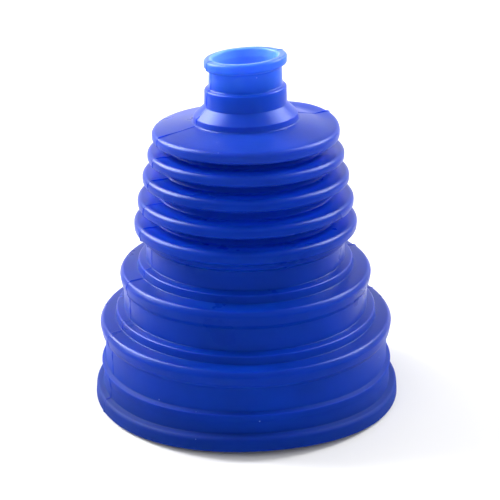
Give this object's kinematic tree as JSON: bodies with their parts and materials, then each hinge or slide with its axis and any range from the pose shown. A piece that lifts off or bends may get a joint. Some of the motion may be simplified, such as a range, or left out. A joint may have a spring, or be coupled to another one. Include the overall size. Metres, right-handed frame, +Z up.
{
  "type": "driveshaft joint boot",
  "caption": "Stepped silicone boot for a driveshaft joint: wide stepped collar, flexing bellows folds and a narrow stepped neck, open at both ends.",
  "frame": {"origin": "centre of the large end's bottom face, where the lip rests", "axes": "+Z up the boot's axis, from the large end to the small end; X and Y are alike"},
  "size_m": [0.1, 0.1, 0.1129],
  "materials": {
    "blue_silicone": "satin moulded silicone, slightly translucent"
  },
  "bodies": {
    "large_end": {"large_collar_3": "blue_silicone", "large_collar_2": "blue_silicone", "large_collar_1": "blue_silicone", "ring_5": "blue_silicone"},
    "root_4_lower": {"root_4_lower": "blue_silicone"},
    "root_4_upper": {"root_4_upper": "blue_silicone"},
    "ring_4": {"ring_4": "blue_silicone"},
    "root_3_lower": {"root_3_lower": "blue_silicone"},
    "root_3_upper": {"root_3_upper": "blue_silicone"},
    "ring_3": {"ring_3": "blue_silicone"},
    "root_2_lower": {"root_2_lower": "blue_silicone"},
    "root_2_upper": {"root_2_upper": "blue_silicone"},
    "ring_2": {"ring_2": "blue_silicone"},
    "root_1_lower": {"root_1_lower": "blue_silicone"},
    "root_1_upper": {"root_1_upper": "blue_silicone"},
    "small_end": {"crown": "blue_silicone", "small_collar_3": "blue_silicone", "small_collar_2": "blue_silicone", "small_collar_1": "blue_silicone"}
  },
  "joints": [
    {"name": "fold_4_stretch", "type": "slide", "parent": "large_end", "child": "root_4_lower", "axis": [0, 0, 1], "range_m": [-0.0008, 0.0015], "stiffness_N_per_m": 4000, "deforming": ["root_4_lower"]},
    {"name": "fold_4_tilt_x", "type": "hinge", "parent": "root_4_lower", "child": "root_4_upper", "pos_m": [0, 0, 0.06335], "axis": [1, 0, 0], "range_deg": [-2.5, 2.5], "stiffness_Nm_per_rad": 2, "deforming": ["root_4_upper"]},
    {"name": "fold_4_tilt_y", "type": "hinge", "parent": "root_4_upper", "child": "ring_4", "pos_m": [0, 0, 0.06335], "axis": [0, 1, 0], "range_deg": [-2.5, 2.5], "stiffness_Nm_per_rad": 2},
    {"name": "fold_3_stretch", "type": "slide", "parent": "ring_4", "child": "root_3_lower", "axis": [0, 0, 1], "range_m": [-0.0008, 0.0015], "stiffness_N_per_m": 4000, "deforming": ["root_3_lower"]},
    {"name": "fold_3_tilt_x", "type": "hinge", "parent": "root_3_lower", "child": "root_3_upper", "pos_m": [0, 0, 0.07105], "axis": [1, 0, 0], "range_deg": [-2.5, 2.5], "stiffness_Nm_per_rad": 2, "deforming": ["root_3_upper"]},
    {"name": "fold_3_tilt_y", "type": "hinge", "parent": "root_3_upper", "child": "ring_3", "pos_m": [0, 0, 0.07105], "axis": [0, 1, 0], "range_deg": [-2.5, 2.5], "stiffness_Nm_per_rad": 2},
    {"name": "fold_2_stretch", "type": "slide", "parent": "ring_3", "child": "root_2_lower", "axis": [0, 0, 1], "range_m": [-0.0008, 0.0015], "stiffness_N_per_m": 4000, "deforming": ["root_2_lower"]},
    {"name": "fold_2_tilt_x", "type": "hinge", "parent": "root_2_lower", "child": "root_2_upper", "pos_m": [0, 0, 0.07855], "axis": [1, 0, 0], "range_deg": [-2.5, 2.5], "stiffness_Nm_per_rad": 2, "deforming": ["root_2_upper"]},
    {"name": "fold_2_tilt_y", "type": "hinge", "parent": "root_2_upper", "child": "ring_2", "pos_m": [0, 0, 0.07855], "axis": [0, 1, 0], "range_deg": [-2.5, 2.5], "stiffness_Nm_per_rad": 2},
    {"name": "fold_1_stretch", "type": "slide", "parent": "ring_2", "child": "root_1_lower", "axis": [0, 0, 1], "range_m": [-0.0008, 0.0015], "stiffness_N_per_m": 4000, "deforming": ["root_1_lower"]},
    {"name": "fold_1_tilt_x", "type": "hinge", "parent": "root_1_lower", "child": "root_1_upper", "pos_m": [0, 0, 0.0853], "axis": [1, 0, 0], "range_deg": [-2.5, 2.5], "stiffness_Nm_per_rad": 2, "deforming": ["root_1_upper"]},
    {"name": "fold_1_tilt_y", "type": "hinge", "parent": "root_1_upper", "child": "small_end", "pos_m": [0, 0, 0.0853], "axis": [0, 1, 0], "range_deg": [-2.5, 2.5], "stiffness_Nm_per_rad": 2}
  ],
  "couplings": [
    {"joint": "fold_3_stretch", "follows": "fold_4_stretch", "ratio": 1},
    {"joint": "fold_3_tilt_x", "follows": "fold_4_tilt_x", "ratio": 1},
    {"joint": "fold_3_tilt_y", "follows": "fold_4_tilt_y", "ratio": 1},
    {"joint": "fold_2_stretch", "follows": "fold_4_stretch", "ratio": 1},
    {"joint": "fold_2_tilt_x", "follows": "fold_4_tilt_x", "ratio": 1},
    {"joint": "fold_2_tilt_y", "follows": "fold_4_tilt_y", "ratio": 1},
    {"joint": "fold_1_stretch", "follows": "fold_4_stretch", "ratio": 1},
    {"joint": "fold_1_tilt_x", "follows": "fold_4_tilt_x", "ratio": 1},
    {"joint": "fold_1_tilt_y", "follows": "fold_4_tilt_y", "ratio": 1}
  ]
}
